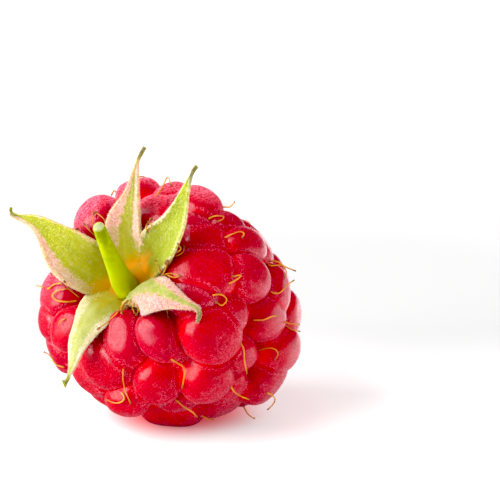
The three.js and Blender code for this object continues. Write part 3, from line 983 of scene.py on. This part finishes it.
styles = {
    "radius": 0.07,
    "taper": ([0, 0.15, 0.85, 1], [1.25, 1, 0.8, 1.05]),
    "sides": 6,
    "rings": 18,
    "hiddenRings": 14,
    "stand": (0.1, 0.3),
    "tableGap": 0.3,
    "seen": [
        [(170.4, 358.8), (178, 363.4), (183.4, 367), (184.5, 371.8), (182.2, 388)],
        [(123.3, 368), (123, 379.5), (125, 389.4), (130.6, 403.6)],
        [(121, 392), (124.5, 397.4), (122, 401.5), (115.3, 403), (106, 399.5)],
        [(175.5, 399.5), (183.7, 406.6), (191.8, 411.7), (197.4, 417.3)],
        [(202, 415.8), (208, 418.9), (213.8, 419.9)],
        [(230.6, 385.7), (234.4, 391.8), (239.7, 395.6), (249, 399.5)],
        [(243.6, 406.4), (248, 414), (255, 419.4)],
        [(266.5, 392.6), (271.9, 394.9), (275, 399.5), (272.6, 404.8), (267.3, 410)],
        [(240.5, 342.8), (243.6, 349), (244.7, 361), (247, 373.8)],
        [(258, 350.5), (268.8, 348), (275.7, 349.7), (278, 353.6), (275, 359.7)],
        [(252.7, 320), (262.7, 320), (274, 316), (278.8, 316.8)],
        [(285, 322), (290, 323.7), (299.4, 324.5)],
        [(285.6, 325.6), (292.5, 329.8), (300, 331.4)],
        [(212, 295.5), (219, 294.4), (224.4, 296.3), (226.7, 300), (222, 305.4), (216, 302)],
        [(228.6, 283.7), (236, 280), (241.3, 275.3), (232.5, 276.4)],
        [(224.4, 237.8), (232, 234.3), (240.5, 231.6), (244, 233.6), (242, 237.8)],
        [(208.4, 219), (213.7, 216.3), (223.7, 216.7), (222.9, 219), (217.5, 221.7)],
        [(222.9, 206.8), (229.8, 206.8), (235, 201.4)],
        [(268.8, 261), (278, 261.9), (284.9, 266.5), (295.6, 271)],
        [(266.5, 263.4), (271, 265.7), (281.8, 265.3), (286.4, 271.8), (284.5, 278)],
        [(270.3, 291.7), (275, 293.2), (280.3, 292.5), (285.6, 286.4), (294, 280.2)],
        [(155.4, 196), (161, 189.6), (168, 177), (171, 185.4)],
        [(111.5, 195), (114.3, 190.5), (116, 192.4)],
        [(64.7, 367.4), (56, 364.7), (49.5, 355.4), (43.6, 351.6)],
        [(44, 288), (42.5, 287), (36.5, 285.5)],
        [(48, 289), (55, 284), (62.5, 283)],
        [(77.7, 301), (65.8, 301.8), (56, 300), (52, 295.8), (56, 291), (68, 288.7)],
        [(65.8, 319), (60.4, 320.7), (58.7, 325)],
        [(167, 275), (174, 277.5), (180, 276)],
    ],
    "hidden": 34,
    "leastHeight": 2,  # none on the drupelets that the fruit lies on
    "mostAlong": 4,  # and none in the seat of the calyx
    "seed": 11,
    "skin": {
        "Roughness": 0.45,
        "Subsurface Weight": 0.4, "Subsurface Radius": (0.8, 0.4, 0.1), "Subsurface Scale": 0.2 * mm,
    },
}


def makeStyles(c):
    skin = surfaceOf(berry)
    lines = [threadPoints(skin, pixels, c["stand"], c["rings"]) for pixels in c["seen"]]
    rng = np.random.default_rng(c["seed"])
    camera = np.array(sight((250, 250))[0])
    for i in rng.permutation(len(middles)):
        crown = turns[i][2]
        top = middles[i] + crown * sizes[i][2]
        facing = (crown @ basis) @ unit(camera - toTable(top))
        if facing > -0.05 or toTable(top)[2] < c["leastHeight"] * mm or top[2] > c["mostAlong"]:
            continue
        if len(lines) >= len(c["seen"]) + c["hidden"]:
            break
        heading = rng.uniform(0, 2 * math.pi)
        way = turns[i][0] * math.cos(heading) + turns[i][1] * math.sin(heading)
        bend = np.cross(crown, way) * rng.uniform(-1.2, 1.2)
        control = np.array([top - crown * 0.3, top + crown * 0.15 + way * 0.8,
                            top - crown * 0.1 + way * 1.9 + bend * 0.5,
                            top - crown * 0.2 + way * 2.6 + bend * 1.3])
        lines.append(toTable(curvePoints(control, c["hiddenRings"])))
    pieces = []
    for line in lines:
        line = keepInside(line, c["tableGap"])
        radii = c["radius"] * np.interp(np.linspace(0, 1, len(line)), *c["taper"])
        pieces.append(tubeAlong("style", toFruit(line), radii, c["sides"]))
    return joined(pieces, "styleThreads")


def styleMaterial(c):
    m, shader = material("styleThread", c["skin"])
    gold = mixed(speckle(0.9, 2, 0.35, 0.65), rgb(206, 146, 26), rgb(180, 110, 16))
    tip = mixed(ranged(attribute("run"), 0.82, 1.0), gold, rgb(128, 92, 20))
    wire(tip, shader.inputs["Base Color"])
    return m


threads = makeStyles(styles)
threads.data.materials.append(styleMaterial(styles))
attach(threads, "root")
print("styles triangles", triangles(threads))


# Down, the fine pale hairs on drupelets, sepals and stalk

down = {
    "berryDown": {"count": 36000, "length": (0.05, 0.17), "radius": 0.009, "lean": 0.9, "seed": 21,
                  "material": "palePinkDown", "colours": (rgb(236, 120, 140), rgb(226, 96, 120))},
    "leafDown": {"count": 16000, "length": (0.08, 0.22), "radius": 0.006, "lean": 1.3, "seed": 22,
                 "material": "whiteDown", "colours": (rgb(228, 218, 206), rgb(222, 196, 188))},
    "stalkDown": {"count": 2200, "length": (0.06, 0.16), "radius": 0.005, "lean": 1.0, "seed": 23,
                  "material": "stalkDown", "colours": (rgb(196, 206, 96), rgb(176, 190, 60))},
}


def offTable(middle, corners):  # none where the fruit lies on the table
    return (middle[:, 2] > 0.8 * mm) * 1.0


def onFelt(middle, corners):  # and a few on the rest of the blades
    felt = np.empty(len(leaves.data.vertices))
    leaves.data.attributes["felt"].data.foreach_get("value", felt)
    return 0.004 + felt[corners].mean(1)


def hairs(name, obj, c, weigh):  # tiny closed spikes on the faces, more where weigh is high
    mesh = obj.data
    mesh.calc_loop_triangles()
    corners = np.empty(len(mesh.loop_triangles) * 3, np.int32)
    mesh.loop_triangles.foreach_get("vertices", corners)
    corners = corners.reshape(-1, 3)
    corners = corners[np.lexsort(corners.T)]  # a union may list them otherwise each run
    p = coords(obj)[corners]
    face = np.cross(p[:, 1] - p[:, 0], p[:, 2] - p[:, 0])
    area = np.linalg.norm(face, axis=1)
    normal = face / np.maximum(area, 1e-18)[:, None]
    chance = area * weigh(p.mean(1), corners)
    count, radius = c["count"], c["radius"] * mm
    rng = np.random.default_rng(c["seed"])
    chosen = rng.choice(len(p), count, p=chance / chance.sum())
    a, b = rng.random((2, count, 1))
    flip = a + b > 1
    a, b = np.where(flip, 1 - a, a), np.where(flip, 1 - b, b)
    root = p[chosen, 0] + a * (p[chosen, 1] - p[chosen, 0]) + b * (p[chosen, 2] - p[chosen, 0])
    way = unit(normal[chosen] + c["lean"] * rng.normal(size=root.shape) * 0.5)
    length = rng.uniform(*c["length"], (count, 1)) * mm
    side = unit(np.cross(way, rng.normal(size=root.shape)))
    other = np.cross(way, side)
    ring = [root - way * 0.02 * mm + radius * (side * math.cos(t) + other * math.sin(t))
            for t in (0, 2 * math.pi / 3, 4 * math.pi / 3)]
    points = np.stack(ring + [root + way * length], 1).reshape(-1, 3)
    first = np.arange(count)[:, None] * 4
    faces = np.concatenate([first + q for q in ([0, 1, 3], [1, 2, 3], [2, 0, 3], [0, 2, 1])])
    spikes = bpy.data.meshes.new(name)
    spikes.from_pydata(keepInside(points, 0.05).tolist(), [], faces.tolist())
    fuzz = bpy.data.objects.new(name, spikes)
    scene.collection.objects.link(fuzz)
    return fuzz


def downMaterial(c):
    m, shader = material(c["material"], {"Roughness": 0.6, "Specular IOR Level": 0.2})
    wire(mixed(speckle(1.0, 2, 0.3, 0.7), *c["colours"]), shader.inputs["Base Color"])
    return m


for name, obj, weigh in (("berryDown", berry, offTable), ("leafDown", leaves, onFelt),
                         ("stalkDown", stem, offTable)):
    hair = hairs(name, obj, down[name], weigh)
    hair.data.materials.append(downMaterial(down[name]))
    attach(hair, "root")
    print(name, "triangles", triangles(hair))


# Floor, light and world

studio = {
    "floorSize": 6.0,
    "floorFront": -0.085,  # the pale board ends here, just out of view
    "floorColour": 0.9,
    "floorShown": (0.5, 0.9),  # what the camera finds, near and far, so fine threads read on it
    "floorShownReach": (60, 160),
    "backStart": (-8, 30),  # where on the floor, towards the back, that begins
    "floorMirrored": (0.1, 0.9),  # what the skins pick up of it, front left and back right
    "mirroredReach": (-5, 30),
    "redCast": (0.965, 0.968),  # painted red light that comes through the fruit, as green and blue left
    "castReach": (8, 36),
    "softGlow": (0.36, 0.275, 0.29),  # painted glow of what the fruit lets through onto the floor round it
    "glow": (0.16, 0.25, 0.245),  # and a painted glow just under it
    "glowReach": (6, 15),
    "footCast": (0.2, 0.22),  # painted red light and shadow right at its foot
    # a painted red glow at its foot
    "footGlow": 0.2,
    "footCentre": (2, 3),
    "footReach": (3, 9),
    "ambient": 1.0,
    "gloom": 0.04,  # what polished surfaces mirror where no lamp stands
    # bearing and rise in degrees, distance and size in metres, radiance, whether skins mirror it
    "lamps": {
        "keySoftbox": (-160, 28, 0.6, (0.7, 0.66), 6.4, True),
        "backPanel": (85, 16, 0.9, (1.6, 0.8), 1.5, False),
        "frontPanel": (-62, 13, 0.8, (0.8, 0.4), 1.5, False),
        "sidePanel": (3, 12, 0.7, (0.7, 0.35), 1.3, False),
    },
    "aim": 0.012,  # height that the lamps point at
    "blackLevel": (0.0, 0.029, 0.018),
}


def softbox(name, aim, bearing, lift, distance, size, radiance, mirrored):
    bearing, lift = math.radians(bearing), math.radians(lift)
    away = Vector((math.cos(bearing) * math.cos(lift), math.sin(bearing) * math.cos(lift), math.sin(lift)))
    deselectAll()
    bpy.ops.object.light_add(type="AREA", location=away * distance + Vector((0, 0, aim)))
    light = bpy.context.object
    light.name = name
    light.data.shape = "RECTANGLE"
    light.data.size, light.data.size_y = size
    light.data.energy = radiance * math.pi * size[0] * size[1]
    light.rotation_euler = (-away).to_track_quat("-Z", "Y").to_euler()
    light.visible_camera = False
    light.visible_glossy = mirrored


def floorMaterial(c):
    m, shader = material("paleFloor", {"Roughness": 0.8, "Emission Strength": 1.0})
    place = node("TexCoord").outputs["Object"]
    white, black = grey(1), grey(0)

    def reached(value, reach, *ends):  # reach in millimetres
        return ranged(value, reach[0] * mm, reach[1] * mm, *ends)

    def lit(a, b, blend):
        return mixed(1.0, a, b, blend)

    sides = node("SeparateXYZ")
    wire(place, sides.inputs[0])
    fromMiddle = node("VectorMath", operation="LENGTH")
    wire(place, fromMiddle.inputs[0])
    away = fromMiddle.outputs["Value"]
    fromFoot = node("VectorMath", operation="DISTANCE")
    wire(place, fromFoot.inputs[0])
    fromFoot.inputs[1].default_value = (*(q * mm for q in c["footCentre"]), 0)
    path = node("LightPath").outputs
    cast = reached(away, c["castReach"], 1, 0)
    through = reached(away, c["glowReach"], 1, 0)
    foot = reached(fromFoot.outputs["Value"], c["footReach"], 1, 0)
    back = reached(sides.outputs[1], c["backStart"])
    # what the camera sees, what the skins mirror, and the painted red light and shadow that the fruit casts
    # on both
    shown = reached(away, c["floorShownReach"], *c["floorShown"])
    shown = mixed(back, grey(c["floorColour"]), shown)
    rightward = plus(sides.outputs[0], times(sides.outputs[1], 0.6))
    mirrored = reached(rightward, c["mirroredReach"], *c["floorMirrored"])
    bounced = mixed(path["Is Glossy Ray"], grey(c["floorColour"]), mirrored)
    tint = mixed(cast, white, (1, *c["redCast"], 1))
    tint = mixed(foot, tint, (1, *c["footCast"], 1))
    paint = lit(mixed(path["Is Camera Ray"], bounced, shown), tint, "MULTIPLY")
    wire(paint, shader.inputs["Base Color"])
    # a painted glow of light that comes through the fruit, which only the camera sees
    soft = mixed(times(cast, back), black, (*c["softGlow"], 1))
    glow = lit(soft, mixed(through, black, (*c["glow"], 1)), "ADD")
    glow = mixed(foot, glow, lit(glow, (1, *c["footCast"], 1), "MULTIPLY"))
    glow = lit(glow, mixed(foot, black, (c["footGlow"], 0, 0, 1)), "ADD")
    wire(mixed(path["Is Camera Ray"], black, glow), shader.inputs["Emission Color"])
    return m


def makeFloor(c):
    deselectAll()
    bpy.ops.mesh.primitive_plane_add(size=c["floorSize"])
    bpy.ops.object.mode_set(mode="EDIT")
    bpy.ops.transform.translate(value=(0, c["floorSize"] / 2 + c["floorFront"], 0))
    bpy.ops.object.mode_set(mode="OBJECT")
    floor = bpy.context.object
    floor.name = "floor"
    floor.data.materials.append(floorMaterial(c))


def makeWorld(c):
    global tree
    scene.world = bpy.data.worlds.new("studio")
    scene.world.use_nodes = True
    tree = scene.world.node_tree
    tree.nodes.clear()
    path = node("LightPath").outputs
    sky = node("Background", Color=(1, 1, 1, 1))
    strength = ranged(path["Is Glossy Ray"], 0, 1, c["ambient"], c["gloom"])
    wire(math2("MAXIMUM", strength, path["Is Camera Ray"]), sky.inputs["Strength"])
    wire(sky.outputs[0], node("OutputWorld").inputs["Surface"])
    scene.view_settings.view_transform = "Standard"
    scene.view_settings.look = "None"
    scene.view_settings.use_curve_mapping = True
    scene.view_settings.curve_mapping.black_level = c["blackLevel"]
    scene.view_settings.curve_mapping.update()


makeFloor(studio)
for name, lamp in studio["lamps"].items():
    softbox(name, studio["aim"], *lamp)
makeWorld(studio)
print("studio done")
